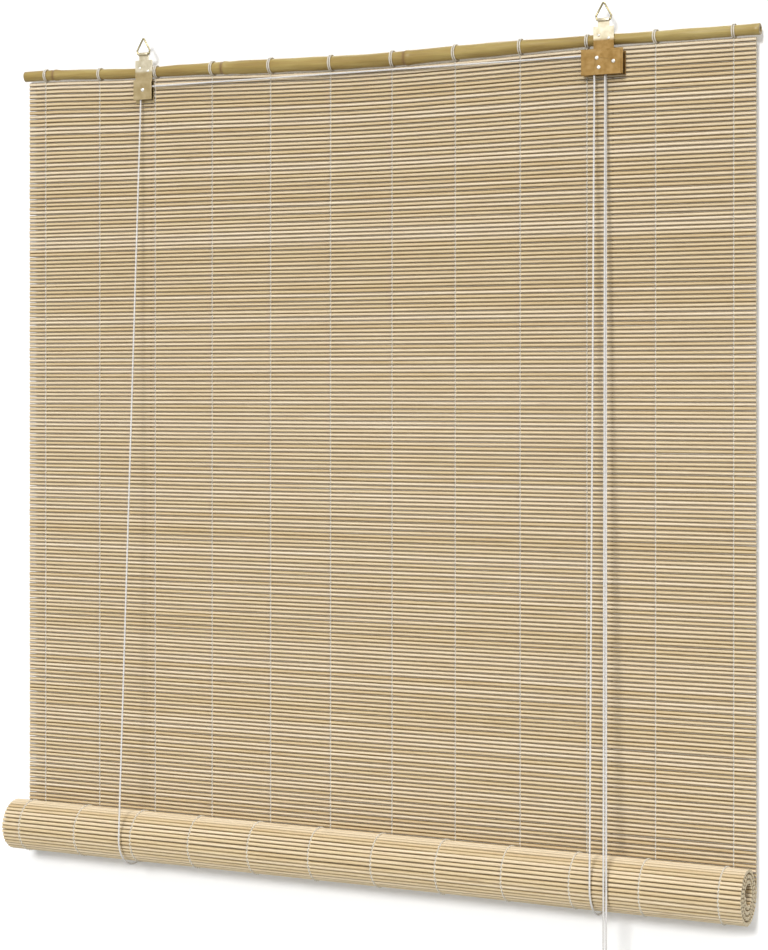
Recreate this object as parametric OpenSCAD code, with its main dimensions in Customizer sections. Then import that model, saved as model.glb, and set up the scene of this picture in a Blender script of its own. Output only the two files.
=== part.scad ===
// Bamboo roll up blind, partly raised: a cane head pole, a reed mat rolled up at its foot,
// two sheet brass hangers, a cord lock and the cords that lift the roll.
// The origin lies midway between the two points where the hangers sit on their hooks.
// X runs to the right, -Y faces the room and Z points up.

/* [Mat] */
// Width of the reed mat
mat_w = 900; // [600:10:1200]
// Distance from reed to reed
reed_pitch = 4.5; // [4.2:0.1:6]
// Diameter of one reed
reed_d = 4.1; // [3.2:0.1:4.1]
// Thickness of the bound joint between two reeds
joint_t = 1.4; // [1:0.1:2]
// Joints from one see-through gap to the next
gap_step = 2; // [2:1:6]

/* [Threads] */
// Columns of binding thread across the mat
thread_columns = 12; // [6:1:14]
// From the mat's side edge to its first column
thread_edge = 24.5; // [15:0.5:40]
// How much wider the last bay between columns is than the others
last_bay = 8; // [0:1:20]
// Width of one column of binding thread
thread_w = 1.8; // [1.2:0.1:2.4]
// Thickness of the binding thread
thread_t = 0.8; // [0.5:0.1:1]

/* [Roll] */
// Radius of the outermost turn, at the middle of its reeds
roll_r = 29.6; // [27:0.2:34]
// Share of the roll that is filled with turns, from outside inwards
roll_fill = 0.88; // [0.5:0.02:0.94]
// Distance from turn to turn
turn_pitch = 5.4; // [5.2:0.1:6.4]

/* [Head pole] */
// Cane past the mat on the left
pole_over_left = 5; // [0:1:20]
// Cane past the mat on the right
pole_over_right = 3; // [0:1:20]
// Diameter of the cane near its ends
pole_d_end = 12.2; // [10:0.2:14]
// Diameter of the cane in the middle
pole_d_mid = 16; // [14:0.2:18]
// Rise of the cane's left end
crook_left = 5; // [0:0.5:8]
// Sag of the cane's middle
crook_mid = 4.5; // [0:0.5:6]
// Swell of the cane at each of its joints
node_swell = 0.7; // [0.2:0.1:1.2]
// Distance from joint to joint of the cane
internode = 232; // [180:2:280]
// Hollow inside the cane
pole_bore_d = 5.5; // [3:0.5:7]
// Depth of the hollow that shows at each end
pole_bore_depth = 40; // [10:1:60]

/* [Hangers] */
// From the middle of the blind to each hanger
hanger_x = 285; // [200:5:400]
// Thickness of the brass sheet
sheet_t = 1; // [0.8:0.1:1.4]
// Width of the straps
strap_w = 23; // [18:0.5:24]
// Top of the straps over the pole's axis
strap_top = 13.5; // [12:0.5:18]
// Width of the rolled tongue
tongue_w = 12.5; // [8:0.5:13]
// Wire of the hanging triangles
wire_d = 2; // [1.6:0.1:2.4]
// Width of a triangle between its wire's centres
triangle_w = 17; // [17:0.5:22]
// Height of a triangle up to where its sides would meet
triangle_h = 19.2; // [16:0.2:26]
// Widest place of a triangle over its lower wire
shoulder_h = 4.4; // [4:0.2:6]
// Triangle's lower wire over the pole's axis
eye_rise = 20.5; // [20:0.5:28]

/* [Pulley housing] */
// Width of the left pulley housing
housing_w = 24.5; // [24:0.5:30]
// Top of the left housing below the pole's axis
housing_top = 10; // [9:0.5:14]
// Foot of the left housing below the pole's axis
housing_foot = 33; // [30:0.5:40]
// How far the left housing stands out from its strap
housing_step = 3; // [2.5:0.1:4]
// Left pulley's pin below the pole's axis
pulley_drop = 21.5; // [20:0.5:24]
// Left pulley's flanges
pulley_d = 9; // [8:0.2:11]

/* [Cord lock] */
// Width of the lock case
lock_w = 47; // [46:0.5:56]
// Top of the lock case below the pole's axis
lock_top = 11; // [9:0.5:12]
// Foot of the lock case below the pole's axis
lock_foot = 38.5; // [37:0.5:44]
// How far the lock case stands out from its strap
lock_step = 5.5; // [5:0.1:7]
// Diameter of the pins and rivets
pin_d = 3; // [2.4:0.1:3.4]
// Diameter of the rivets' heads
rivet_head_d = 4.6; // [4:0.1:5.4]
// How far the pressed panel stands out from the lock case
panel_rise = 0.8; // [0.4:0.1:1.2]
// Teeth on the locking cam
cam_teeth = 5; // [3:1:7]
// Reach of the locking cam's nose from its pin
cam_reach = 11.2; // [10.4:0.1:11.4]

/* [Cords] */
// Diameter of the lift and pull cords
cord_d = 2.2; // [1.6:0.1:2.4]
// Groove radius of the cord pulleys
groove_r = 2.6; // [2:0.1:3]
// From the pole's axis down to the roll's axis
drop = 889; // [700:1:960]
// From the roll's axis down to the foot of the pull cords
tail_len = 88; // [60:1:120]
// Diameter of the knot on the pull cords
knot_d = 8; // [6:0.5:10]

/* [Hidden] */

// Clearances
run_fit = 0.05;   // pin in its bore
seat_fit = 0.2;   // sheet against the cane
soft_fit = 0.3;   // reeds, threads and cords against what they lie on
side_fit = 0.3;   // wheel between two plates
cord_gap = 0.1;   // cord in its groove and where two lengths of cord meet

// Colours
REED = "#e8d3a0";
CANE = "#b8a566";
THREAD = "#f2efe6";
BRASS = "#c9ab6a";
STEEL = "#d8d4c4";

// Heights and depths that several pieces share
bend_r = wire_d * 0.6;      // bend at each corner of a triangle
bend_d = wire_d * 1.08;     // wire swells a little where it is bent
bend_lap = wire_d * 0.15;   // straight wire carried into each bend
bend_out = wire_d * 0.6;    // lower corners of a triangle, out past the tongue
crown = triangle_h - bend_r * (1 / sin(atan(triangle_w / 2 / (triangle_h - shoulder_h))) - 1);
pole_z = -(eye_rise + crown - wire_d / 2);
eye_z = pole_z + eye_rise;
pole_y = 7.6;               // from the triangles back to the pole's axis
mat_back_y = pole_y + reed_d / 2;
mat_front_y = pole_y - reed_d / 2;
roll_z = pole_z - drop;
roll_y = pole_y - roll_r;
// Centre line of the cords that lie round the roll, outside its threads
sling_r = roll_r + reed_d / 2 + thread_t + 2 * soft_fit + cord_d / 2;
joint_gap = soft_fit / 2;
gap_h = reed_pitch - reed_d;
outer_turn = 290;           // degrees of the roll that its threads show on
thread_steps = 40;
wall_short = 4;             // side wall of the left housing ends over its foot
bore_over = 1;              // bores are cut past the faces they open in

// Cane: shape along X
pole_x0 = -mat_w / 2 - pole_over_left;
pole_x1 = mat_w / 2 + pole_over_right;
pole_sides = 20;
pole_rings = 64;
pole_taper_in = 130;
pole_taper_out = 280;
pole_sag_w = 150;
pole_rise_w = 160;
first_joint = 44;
node_w = 4;
cane_joints = [for (x = pole_x0 + first_joint; x < pole_x1; x = x + internode) x];

function ramp(t) = let (u = max(0, min(1, t))) u * u * (3 - 2 * u);
function pole_swell(x) = node_swell * max([for (j = cane_joints) exp(-pow((x - j) / node_w, 2))]);
function pole_body_r(x) = pole_d_mid / 2
    - (pole_d_mid - pole_d_end) / 2 * ramp((abs(x) - pole_taper_in) / (pole_taper_out - pole_taper_in));
function pole_r(x) = pole_body_r(x) + pole_swell(x);
function pole_dz(x) = crook_left * ramp((-hanger_x - x) / pole_rise_w)
    - crook_mid * exp(-pow(x / pole_sag_w, 2));

// Reeds that fit between the roll's axis and the lashings under the pole, and in the roll
lash_d = 1.5;
lash_fit = 0.25;
lash_pair = 2.2;
head_room = pole_d_mid / 2 + crook_mid + node_swell + lash_fit + lash_d + soft_fit;
reed_count = floor((drop - head_room) / reed_pitch);
roll_reeds = floor(roll_fill * PI * roll_r * roll_r / turn_pitch / reed_pitch);

// Columns of thread
column_pitch = (mat_w - 2 * thread_edge - last_bay) / (thread_columns - 1);
columns = concat([for (i = [0 : thread_columns - 2]) -mat_w / 2 + thread_edge + i * column_pitch],
    [mat_w / 2 - thread_edge]);
// A pair of rings on the cane keeps beside each strap
lash_clear = strap_w / 2 + (lash_pair + lash_d) / 2 + soft_fit;
function beside(x, strap) = abs(x - strap) >= lash_clear ? x
    : strap + (x < strap ? -lash_clear : lash_clear);
lash_places = [for (x = columns) beside(beside(x, -hanger_x), hanger_x)];

// Sheet metal planes: strap, stepped-out front plate and back plate of each hanger
left_strap_y = pole_y - pole_body_r(hanger_x) - seat_fit - sheet_t;
lock_strap_y = pole_y - pole_body_r(hanger_x) - node_swell - seat_fit - sheet_t;
left_front_y = left_strap_y - housing_step;
lock_front_y = lock_strap_y - lock_step;
back_y = mat_front_y - thread_t - 2 * soft_fit - sheet_t;
left_wheel_y0 = left_front_y + sheet_t + side_fit;
lock_wheel_y0 = lock_front_y + sheet_t + side_fit;
wheel_y1 = back_y - side_fit;
left_groove_y = (left_wheel_y0 + wheel_y1) / 2;
lock_width = wheel_y1 - lock_wheel_y0;
groove_share = 0.27;
front_groove_y = lock_wheel_y0 + lock_width * groove_share;
rear_groove_y = wheel_y1 - lock_width * groove_share;
back_plate_drop = 2.5;
eye_r = wire_d / 2 + run_fit + sheet_t;

// Pins, as places across and below the pole's axis
cord_line_r = groove_r + cord_gap + cord_d / 2;
left_pin = [-hanger_x, pole_z - pulley_drop];
lock_pin_at = [-5.6, -20.4];
guide_pin_at = [-3.4, -30.6];
cam_pin_at = [13, -24.8];
lock_pin = [hanger_x, pole_z] + lock_pin_at;
guide_pin = [hanger_x, pole_z] + guide_pin_at;
cam_pin = [hanger_x, pole_z] + cam_pin_at;
lock_pins = [lock_pin, guide_pin, cam_pin];
lock_wheel_d = 8.8;
guide_d = 8.8;
flange_t = 0.7;
rivet_head_h = 1.1;
rivet_tail_h = 0.3;
plate_tail = 3.5;
panel_left = 8.4;
panel_edge = 2;
cam_hub_d = 8.4;
cam_face = 8.5;
cam_tooth = 0.7;
cam_tail = 8;
cam_lip = 1;
head_taper = 0.6;
nail_spread = 5.5;
nail_rise = 2.5;
nail_slant = 1.8;
nail_d = 1.6;
nail_head_d = 3.4;
nail_head_h = 0.8;
nail_len = 8;

// Cord routes; each drift is how far a cord hangs to the right on its way down
cord_sides = 8;
left_drift = 5;
right_drift = 14;
pull_drift = 19;
pull_gap = 0.9;
pull_x = guide_pin[0] + guide_d / 2 + soft_fit + cord_d / 2;
pull_low_x = pull_x + pull_drift;
pull_pair = cord_d + pull_gap;
left_cord_x = left_pin[0] - cord_line_r;
right_cord_x = lock_pin[0] - cord_line_r;
left_loop_x = left_cord_x + left_drift;
right_loop_x = right_cord_x + right_drift;
sling_front_y = roll_y - sling_r;
sling_back_y = roll_y + sling_r;
knot_r = 2.6;
tail_z = roll_z - tail_len;
guide_line_r = guide_d / 2 + soft_fit + cord_d / 2;
guide_off = guide_pin - lock_pin;
// Angle at which the cords leave the lock pulley and meet the guide roller
leave_a = atan2(guide_off[1], guide_off[0]) + acos((cord_line_r - guide_line_r) / norm(guide_off));
arc_steps = 6;

// Plain helpers
module block(x0, x1, y0, y1, z0, z1) {
    translate([x0, y0, z0]) cube([x1 - x0, y1 - y0, z1 - z0]);
}

module across(x, w, y0, y1, z0, z1) {
    block(x - w / 2, x + w / 2, y0, y1, z0, z1);
}

module pin_along_y(at, y0, y1, d) {
    translate([at[0], y0, at[1]]) rotate([-90, 0, 0]) cylinder(d = d, h = y1 - y0, $fn = 48);
}

module along_x(length) {
    rotate([90, 0, 90]) linear_extrude(length, center = true) children();
}

function unit(v) = v / norm(v);

// A tube swept along a route that never runs along Y
module tube(route, d, sides = cord_sides) {
    last = len(route) - 1;
    frames = [for (i = [0 : last])
        let (t = unit(route[min(i + 1, last)] - route[max(i - 1, 0)]),
             side = unit(cross(t, [0, 1, 0])))
        [side, cross(side, t)]];
    points = [for (i = [0 : last], k = [0 : sides - 1])
        let (a = 360 * k / sides)
        route[i] + d / 2 * (cos(a) * frames[i][0] + sin(a) * frames[i][1])];
    walls = [for (i = [0 : last - 1], k = [0 : sides - 1])
        let (n = (k + 1) % sides)
        [i * sides + k, i * sides + n, (i + 1) * sides + n, (i + 1) * sides + k]];
    foot = [for (k = [sides - 1 : -1 : 0]) k];
    head = [for (k = [0 : sides - 1]) last * sides + k];
    polyhedron(points, concat(walls, [foot, head]));
}

module straight_cord(from, to) {
    tube([from, to], cord_d);
}

// Head pole: a crooked cane with swollen joints, open at both ends
module head_pole() {
    step = (pole_x1 - pole_x0) / (pole_rings - 1);
    joints = [for (j = cane_joints, k = [-1 : 1]) j + k * node_w];
    plain = [for (i = [0 : pole_rings - 1])
        let (x = pole_x0 + i * step)
        if (min([for (j = cane_joints) abs(x - j)]) > 2 * node_w) x];
    stations = sorted(concat(plain, joints));
    last = len(stations) - 1;
    points = [for (x = stations, k = [0 : pole_sides - 1])
        let (a = 360 * (k + 0.5) / pole_sides)
        [x, pole_y + pole_r(x) * cos(a), pole_z + pole_dz(x) + pole_r(x) * sin(a)]];
    walls = [for (i = [0 : last - 1], k = [0 : pole_sides - 1])
        let (n = (k + 1) % pole_sides)
        [i * pole_sides + k, (i + 1) * pole_sides + k,
         (i + 1) * pole_sides + n, i * pole_sides + n]];
    foot = [for (k = [0 : pole_sides - 1]) k];
    head = [for (k = [pole_sides - 1 : -1 : 0]) last * pole_sides + k];
    color(CANE) difference() {
        polyhedron(points, concat(walls, [foot, head]));
        for (end = [[pole_x0, 0], [pole_x1, -pole_bore_depth]])
            translate([end[0] + end[1], pole_y, pole_z + pole_dz(end[0])])
                rotate([0, 90, 0]) cylinder(d = pole_bore_d, h = pole_bore_depth, $fn = 32);
        nails(nail_d);
    }
}

function sorted(v) = len(v) < 2 ? v :
    let (p = v[floor(len(v) / 2)])
    concat(sorted([for (x = v) if (x < p) x]), [p], sorted([for (x = v) if (x > p) x]));

// Nails: two through each strap into the cane, one higher than the other
nail_places = [for (strap = [[-hanger_x, left_strap_y], [hanger_x, lock_strap_y]], side = [-1, 1])
    [strap[0] + side * nail_spread, strap[1], pole_z + nail_rise - side * nail_slant]];

module nails(d) {
    for (place = nail_places)
        translate(place) rotate([-90, 0, 0]) cylinder(d = d, h = nail_len, $fn = 24);
}

module nail_heads() {
    for (place = nail_places)
        translate(place) rotate([90, 0, 0])
            cylinder(d1 = nail_head_d, d2 = nail_head_d * head_taper, h = nail_head_h, $fn = 24);
}

module bracket_nails() {
    color(STEEL) union() {
        nails(nail_d - 2 * run_fit);
        nail_heads();
    }
}

// Double rings of thread that tie each column to the pole
module pole_lashings() {
    color(THREAD) for (x = lash_places, side = [-1, 1])
        let (at = x + side * lash_pair / 2)
        translate([at, pole_y, pole_z + pole_dz(x)]) rotate([0, 90, 0])
            rotate_extrude($fn = 32) translate([pole_r(x) + lash_fit + lash_d / 2, 0])
                circle(d = lash_d, $fn = 16);
}

// Hanging part of the mat: round reeds bound edge to edge, with see-through gaps
module reed_mat() {
    foot = roll_z + joint_gap;
    color(REED) difference() {
        along_x(mat_w) {
            translate([pole_y - joint_t / 2, foot])
                square([joint_t, roll_z + reed_pitch * (reed_count - 0.5) - foot]);
            for (i = [0 : reed_count - 1])
                translate([pole_y, roll_z + reed_pitch * (i + 0.5)]) circle(d = reed_d, $fn = 16);
        }
        for (i = [gap_step : gap_step : reed_count - 1])
            block(columns[0], columns[thread_columns - 1], pole_y - reed_d, pole_y + reed_d,
                roll_z + reed_pitch * i - gap_h / 2, roll_z + reed_pitch * i + gap_h / 2);
    }
}

// Binding threads down the front and the back of the mat, from the pole to the roll
module warp_threads() {
    foot = roll_z + joint_gap;
    color(THREAD) for (x = columns) {
        head = pole_z + pole_dz(x) - pole_r(x) - lash_fit - lash_d - soft_fit;
        for (y = [mat_front_y - cord_gap - thread_t, mat_back_y + cord_gap])
            block(x - thread_w / 2, x + thread_w / 2, y, y + thread_t, foot, head);
    }
}

// The roll: one spiral of reeds that starts where the hanging mat meets its back
function spiral_r(a) = roll_r - turn_pitch * a / 360;
function spiral_a(s) = (roll_r - sqrt(roll_r * roll_r - turn_pitch * s / PI)) * 360 / turn_pitch;
function on_spiral(a, out) = let (r = spiral_r(a) + out) [roll_y + r * cos(a), roll_z - r * sin(a)];

module spiral_band(a0, a1, steps, in, out) {
    angles = [for (i = [0 : steps]) a0 + (a1 - a0) * i / steps];
    polygon(concat([for (a = angles) on_spiral(a, in)],
        [for (i = [steps : -1 : 0]) on_spiral(angles[i], out)]));
}

module mat_roll() {
    a_first = spiral_a(joint_gap);
    a_last = spiral_a(reed_pitch * (roll_reeds - 0.5));
    color(REED) along_x(mat_w) union() {
        spiral_band(a_first, a_last, roll_reeds * 2, -joint_t / 2, joint_t / 2);
        for (i = [0 : roll_reeds - 1])
            translate(on_spiral(spiral_a(reed_pitch * (i + 0.5)), 0)) circle(d = reed_d, $fn = 16);
    }
}

// Binding threads on the outside of the roll's outer turn
module roll_threads() {
    inner = reed_d / 2 + cord_gap;
    color(THREAD) for (x = columns)
        translate([x, 0, 0]) along_x(thread_w)
            spiral_band(spiral_a(joint_gap), outer_turn, thread_steps, inner, inner + thread_t);
}

// Sheet brass front of a hanger: rolled tongue, strap, step and housing front in one piece
module front_plate(x, strap_y, front_y, w, top, foot, pins) {
    difference() {
        union() {
            translate([x, 0, eye_z]) rotate([0, 90, 0])
                cylinder(r = eye_r, h = tongue_w, center = true, $fn = 48);
            across(x, tongue_w, strap_y, strap_y + sheet_t, pole_z + strap_top, eye_z);
            across(x, strap_w, strap_y, strap_y + sheet_t, pole_z - top, pole_z + strap_top);
            across(x, strap_w, front_y, strap_y + sheet_t, pole_z - top - sheet_t, pole_z - top);
            across(x, w, front_y, front_y + sheet_t, pole_z - foot, pole_z - top);
            children();
        }
        translate([x, 0, eye_z]) rotate([0, 90, 0])
            cylinder(d = wire_d + 2 * run_fit, h = 2 * tongue_w, center = true, $fn = 48);
        for (p = pins) pin_along_y(p, front_y - panel_rise - bore_over, back_y, pin_d);
        nails(nail_d);
    }
}

module left_front_plate() {
    x0 = -hanger_x - housing_w / 2;
    color(BRASS)
        front_plate(-hanger_x, left_strap_y, left_front_y, housing_w, housing_top, housing_foot, [left_pin])
            block(x0, x0 + sheet_t, left_front_y, back_y,
                pole_z - housing_foot + wall_short, pole_z - housing_top - back_plate_drop);
}

module lock_front_plate() {
    color(BRASS)
        front_plate(hanger_x, lock_strap_y, lock_front_y, lock_w, lock_top, lock_foot, lock_pins)
            block(hanger_x - panel_left, hanger_x + lock_w / 2 - panel_edge,
                lock_front_y - panel_rise, lock_front_y + sheet_t / 2,
                pole_z - lock_foot, pole_z - lock_top - panel_edge);
}

module back_plate(x0, x1, top, foot, pins) {
    difference() {
        block(x0, x1, back_y, back_y + sheet_t, pole_z - foot, pole_z - top - back_plate_drop);
        for (p = pins) pin_along_y(p, back_y - sheet_t, back_y + 2 * sheet_t, pin_d);
    }
}

module left_back_plate() {
    color(BRASS) back_plate(-hanger_x - housing_w / 2, -hanger_x + housing_w / 2,
        housing_top, housing_foot + plate_tail, [left_pin]);
}

module lock_back_plate() {
    color(BRASS) back_plate(hanger_x - lock_w / 2, hanger_x + lock_w / 2,
        lock_top, lock_foot, lock_pins);
}

// Rivets: a pin through both plates, a domed head in front and a flat tail behind
module rivet(at, front_y) {
    pin_along_y(at, front_y, back_y + sheet_t, pin_d - run_fit);
    translate([at[0], front_y, at[1]]) rotate([90, 0, 0])
        cylinder(d1 = rivet_head_d, d2 = rivet_head_d * head_taper, h = rivet_head_h, $fn = 48);
    pin_along_y(at, back_y + sheet_t, back_y + sheet_t + rivet_tail_h, rivet_head_d);
}

module left_pulley_rivet() {
    color(STEEL) rivet(left_pin, left_front_y);
}

module lock_rivets() {
    color(STEEL) for (p = lock_pins) rivet(p, lock_front_y - panel_rise);
}

// Cord wheels: flanges with grooves between them, free on their pins
module wheel(at, y0, y1, flange_d, hub_d, grooves) {
    pitch = (y1 - y0 - flange_t) / grooves;
    difference() {
        union() {
            pin_along_y(at, y0, y1, hub_d);
            for (i = [0 : grooves])
                pin_along_y(at, y0 + i * pitch, y0 + i * pitch + flange_t, flange_d);
        }
        pin_along_y(at, y0 - bore_over, y1 + bore_over, pin_d + 2 * run_fit);
    }
}

module left_pulley() {
    color(STEEL) wheel(left_pin, left_wheel_y0, wheel_y1, pulley_d, 2 * groove_r, 1);
}

module lock_pulley() {
    color(STEEL) wheel(lock_pin, lock_wheel_y0, wheel_y1, lock_wheel_d, 2 * groove_r, 2);
}

module lock_guide_roller() {
    color(STEEL) difference() {
        pin_along_y(guide_pin, lock_wheel_y0, wheel_y1, guide_d);
        pin_along_y(guide_pin, lock_wheel_y0 - bore_over, wheel_y1 + bore_over, pin_d + 2 * run_fit);
    }
}

// Locking cam: a toothed nose that the load drags up into the cords, and a heavier tail
module lock_cam() {
    hub = cam_hub_d / 2;
    tip = sqrt(cam_reach * cam_reach - pow(cam_face + cam_tooth, 2));
    tooth = (tip - hub / 2) / cam_teeth;
    teeth = [for (i = [0 : cam_teeth - 1], k = [0, 1])
        [-cam_face - k * cam_tooth, -hub / 2 - tooth * (i + k)]];
    color(BRASS) translate([cam_pin[0], wheel_y1, cam_pin[1]]) rotate([90, 0, 0]) difference() {
        linear_extrude(lock_width) union() {
            circle(d = cam_hub_d, $fn = 48);
            polygon(concat([[0, hub]], teeth, [[-cam_face / 2, -hub - cam_lip], [0, -hub],
                [cam_tail, -hub - cam_lip], [cam_tail, hub]]));
        }
        translate([0, 0, -bore_over])
            cylinder(d = pin_d + 2 * run_fit, h = lock_width + 2 * bore_over, $fn = 48);
    }
}

// Wire triangles that hang on the hooks, each turning in its tongue
function left_of(v) = [-v[1], v[0]];

module bent_wire(corners) {
    sides = len(corners);
    for (i = [0 : sides - 1]) {
        corner = corners[i];
        into = unit(corner - corners[(i + sides - 1) % sides]);
        onto = unit(corners[(i + 1) % sides] - corner);
        next = unit(corners[(i + 2) % sides] - corners[(i + 1) % sides]);
        turn = acos(into * onto);
        ease = bend_r * tan(turn / 2);
        ease_next = bend_r * tan(acos(onto * next) / 2);
        bend = corner - ease * into + bend_r * left_of(into);
        start = corner + (ease - bend_lap) * onto;
        translate([bend[0], bend[1], 0]) rotate([0, 0, atan2(into[1], into[0]) - 90])
            rotate_extrude(angle = turn, $fn = 48) translate([bend_r, 0]) circle(d = bend_d, $fn = 24);
        length = norm(corners[(i + 1) % sides] - corner) - ease - ease_next + 2 * bend_lap;
        translate([start[0], start[1], 0]) rotate([0, 90, atan2(onto[1], onto[0])])
            cylinder(d = wire_d, h = length, $fn = 24);
    }
}

module hanger(x) {
    base = triangle_w / 2;
    foot = tongue_w / 2 + bend_out;
    color(BRASS) translate([x, 0, eye_z]) rotate([90, 0, 0])
        bent_wire([[-foot, 0], [foot, 0], [base, shoulder_h], [0, triangle_h], [-base, shoulder_h]]);
}

module left_hanger() {
    hanger(-hanger_x);
}

module right_hanger() {
    hanger(hanger_x);
}

// Cords
function knot_y(x) = pole_y + pole_r(x) + soft_fit + knot_r;

function arc(at, r, a0, a1, y) = [for (i = [0 : arc_steps])
    let (a = a0 + (a1 - a0) * i / arc_steps) [at[0] + r * cos(a), y, at[1] + r * sin(a)]];

function lock_run(a0, y) = concat(arc(lock_pin, cord_line_r, a0, leave_a, y),
    arc(guide_pin, guide_line_r, leave_a, 0, y), [[pull_x, y, pole_z - lock_foot]]);

// The left cord goes over its pulley, along under the pole and down through the lock
module head_cord() {
    over_pulley = arc(left_pin, cord_line_r, 180, 90, left_groove_y);
    color(THREAD) tube(concat(over_pulley, lock_run(90, rear_groove_y)), cord_d);
}

module right_lift_wrap() {
    color(THREAD) tube(lock_run(180, front_groove_y), cord_d);
}

module lift_front(top, loop_x, groove_y) {
    color(THREAD) straight_cord([top[0], groove_y, top[1] - cord_gap],
        [loop_x, sling_front_y, roll_z + cord_gap]);
}

module lift_loop(x) {
    color(THREAD) translate([x, roll_y, roll_z]) rotate([90, 0, 90]) rotate([0, 0, 180])
        rotate_extrude(angle = 180, $fn = 64) translate([sling_r, 0]) circle(d = cord_d, $fn = 24);
}

module lift_back(x) {
    color(THREAD) straight_cord([x, sling_back_y, roll_z + cord_gap],
        [x, knot_y(x), pole_z + pole_dz(x) - knot_r - cord_gap]);
}

module left_lift_front() {
    lift_front([left_cord_x, left_pin[1]], left_loop_x, left_groove_y);
}

module left_lift_loop() {
    lift_loop(left_loop_x);
}

module left_lift_back() {
    lift_back(left_loop_x);
}

module right_lift_front() {
    lift_front([right_cord_x, lock_pin[1]], right_loop_x, front_groove_y);
}

module right_lift_loop() {
    lift_loop(right_loop_x);
}

module right_lift_back() {
    lift_back(right_loop_x);
}

// Knots that end the lift cords behind the pole
module cord_knots() {
    color(THREAD) for (x = [left_loop_x, right_loop_x])
        translate([x, knot_y(x), pole_z + pole_dz(x)]) sphere(r = knot_r, $fn = 32);
}

// Pull cords: from the lock over the front of the roll, then plumb to their knot
module pull_upper(y, side) {
    color(THREAD) straight_cord([pull_x, y, pole_z - lock_foot - cord_gap],
        [pull_low_x + side * pull_pair / 2, sling_front_y, roll_z + cord_gap]);
}

module pull_tail(side) {
    x = pull_low_x + side * pull_pair / 2;
    color(THREAD) straight_cord([x, sling_front_y, roll_z], [x, sling_front_y, tail_z]);
}

module front_pull_upper() {
    pull_upper(front_groove_y, -1);
}

module rear_pull_upper() {
    pull_upper(rear_groove_y, 1);
}

module front_pull_tail() {
    pull_tail(-1);
}

module rear_pull_tail() {
    pull_tail(1);
}

module pull_knot() {
    color(THREAD) translate([pull_low_x, sling_front_y, tail_z - knot_d / 2])
        sphere(d = knot_d, $fn = 32);
}

head_pole();
pole_lashings();
reed_mat();
warp_threads();
mat_roll();
roll_threads();
left_front_plate();
left_back_plate();
left_pulley();
left_pulley_rivet();
lock_front_plate();
lock_back_plate();
lock_pulley();
lock_guide_roller();
lock_cam();
lock_rivets();
bracket_nails();
left_hanger();
right_hanger();
head_cord();
right_lift_wrap();
left_lift_front();
left_lift_loop();
left_lift_back();
right_lift_front();
right_lift_loop();
right_lift_back();
cord_knots();
front_pull_upper();
rear_pull_upper();
front_pull_tail();
rear_pull_tail();
pull_knot();
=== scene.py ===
"""Looks of a bamboo roll up blind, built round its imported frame."""
import math
import random

import bpy
import numpy as np
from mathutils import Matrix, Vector


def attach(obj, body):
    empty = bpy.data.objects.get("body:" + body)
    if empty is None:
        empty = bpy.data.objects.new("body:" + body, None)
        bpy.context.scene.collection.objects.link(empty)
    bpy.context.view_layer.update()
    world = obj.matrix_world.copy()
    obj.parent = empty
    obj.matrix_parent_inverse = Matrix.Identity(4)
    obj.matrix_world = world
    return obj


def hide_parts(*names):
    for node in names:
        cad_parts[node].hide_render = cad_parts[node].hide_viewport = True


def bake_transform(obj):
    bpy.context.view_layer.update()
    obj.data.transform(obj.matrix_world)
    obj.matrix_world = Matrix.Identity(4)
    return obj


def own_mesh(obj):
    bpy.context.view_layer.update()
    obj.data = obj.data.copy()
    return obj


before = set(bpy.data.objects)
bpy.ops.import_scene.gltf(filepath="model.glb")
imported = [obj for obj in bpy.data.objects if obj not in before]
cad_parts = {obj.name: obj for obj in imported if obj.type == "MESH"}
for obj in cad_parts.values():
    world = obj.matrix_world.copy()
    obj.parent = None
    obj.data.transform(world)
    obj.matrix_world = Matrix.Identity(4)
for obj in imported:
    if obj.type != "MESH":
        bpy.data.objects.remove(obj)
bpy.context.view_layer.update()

MM = 0.001

# Sizes and places, after the part's source
MAT_W = 900 * MM
REED_PITCH = 4.5 * MM
REED_R = 2.05 * MM
THREAD_COLUMNS = 12
THREAD_EDGE = 24.5 * MM
LAST_BAY = 8 * MM
ROLL_R = 29.6 * MM
ROLL_FILL = 0.88
TURN_PITCH = 5.4 * MM
POLE_X0 = -455 * MM
POLE_X1 = 453 * MM
POLE_R_END = 6.1 * MM
POLE_R_MID = 8 * MM
POLE_TAPER_IN = 130 * MM
POLE_TAPER = 150 * MM
CROOK_LEFT = 5 * MM
CROOK_MID = 4.5 * MM
POLE_RISE_W = 160 * MM
POLE_SAG_W = 150 * MM
NODE_SWELL = 0.7 * MM
INTERNODE = 232 * MM
FIRST_JOINT = 44 * MM
NODE_W = 4 * MM
BORE_R = 2.75 * MM
BORE_DEPTH = 38 * MM
POLE_Y = 7.6 * MM
POLE_Z = -37.4905 * MM
DROP = 889 * MM
HEAD_ROOM = 15.25 * MM
ROLL_Z = POLE_Z - DROP
ROLL_Y = POLE_Y - ROLL_R
HANGER_X = 285 * MM
CORD_R = 1.1 * MM
GROOVE_LINE_R = 3.8 * MM
GUIDE_LINE_R = 5.8 * MM
LEFT_PIN = (-HANGER_X, POLE_Z - 21.5 * MM)
LOCK_PIN = (HANGER_X - 5.6 * MM, POLE_Z - 20.4 * MM)
GUIDE_PIN = (HANGER_X - 3.4 * MM, POLE_Z - 30.6 * MM)
LEFT_GROOVE_Y = 0.725 * MM
FRONT_GROOVE_Y = -2.5885 * MM
REAR_GROOVE_Y = 0.8385 * MM
LOCK_FOOT_Z = POLE_Z - 38.5 * MM
SLING_R = 34.15 * MM
SLING_FRONT_Y = ROLL_Y - SLING_R
SLING_BACK_Y = ROLL_Y + SLING_R
LEFT_CORD_X = LEFT_PIN[0] - GROOVE_LINE_R
RIGHT_CORD_X = LOCK_PIN[0] - GROOVE_LINE_R
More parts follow.
